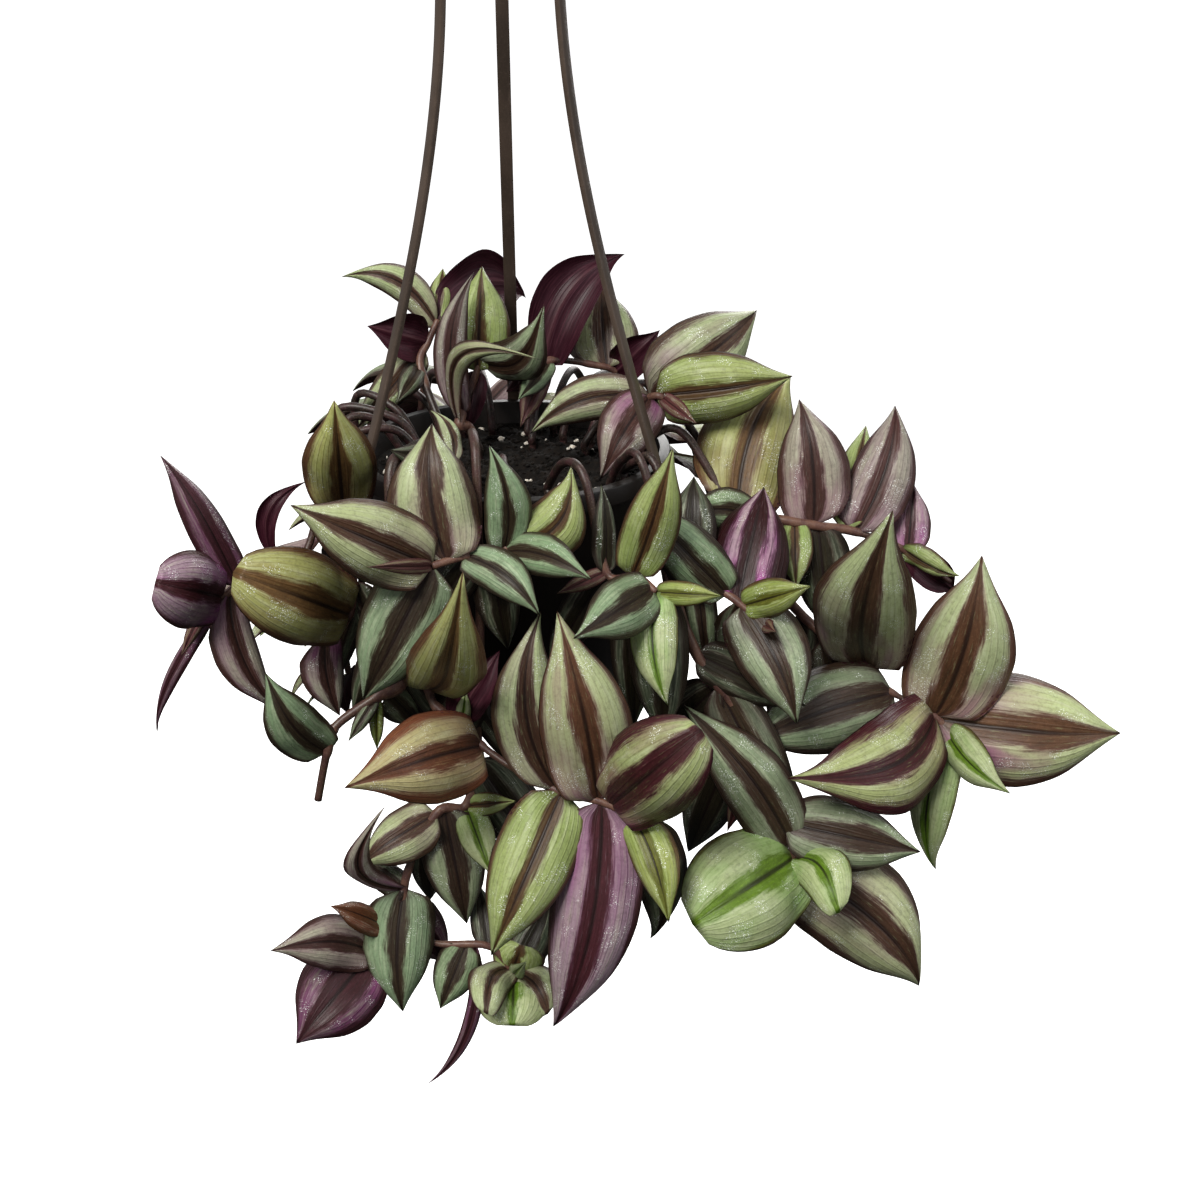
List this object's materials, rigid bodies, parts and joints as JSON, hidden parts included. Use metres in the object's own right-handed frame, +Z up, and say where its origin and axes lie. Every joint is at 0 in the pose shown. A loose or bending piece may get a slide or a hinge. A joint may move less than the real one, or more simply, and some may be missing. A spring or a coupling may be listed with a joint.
{
  "type": "hanging potted tradescantia",
  "caption": "Trailing houseplant with striped silver-green and purple leaves, spilling over a round pot that hangs by flat straps from a hook.",
  "frame": {"origin": "point inside the hook that rests on a rail or nail", "axes": "+Z up along the pot's axis, -Y towards the side that the picture shows, +X to its right"},
  "size_m": [0.3838, 0.2955, 0.477],
  "materials": {
    "dark_plastic": "satin dark brown",
    "soil": "rough crumbly potting soil",
    "foliage": "waxy leaves with silver-green bands and dark purple lines, brown-purple stems"
  },
  "bodies": {
    "root": {"hanger_hub": "dark_plastic", "pot": "dark_plastic", "soil": "soil", "stems_back_left": "foliage", "stems_cut_stem": "foliage", "stems_front_left": "foliage", "stems_front_right": "foliage", "stems_hidden_1": "foliage", "stems_hidden_10": "foliage", "stems_hidden_2": "foliage", "stems_hidden_3": "foliage", "stems_hidden_4": "foliage", "stems_hidden_5": "foliage", "stems_hidden_6": "foliage", "stems_hidden_7": "foliage", "stems_hidden_8": "foliage", "stems_hidden_9": "foliage", "stems_left_front": "foliage", "stems_left_tip": "foliage", "stems_lower_left-lower_tip": "foliage", "stems_right_front": "foliage", "stems_right_low": "foliage", "stems_right_tip": "foliage", "stems_right_upper": "foliage", "stems_rosette": "foliage", "stems_top_back": "foliage", "stems_top_left": "foliage", "stems_top_right": "foliage", "strap_1": "dark_plastic", "strap_2": "dark_plastic", "strap_3": "dark_plastic"}
  },
  "joints": []
}
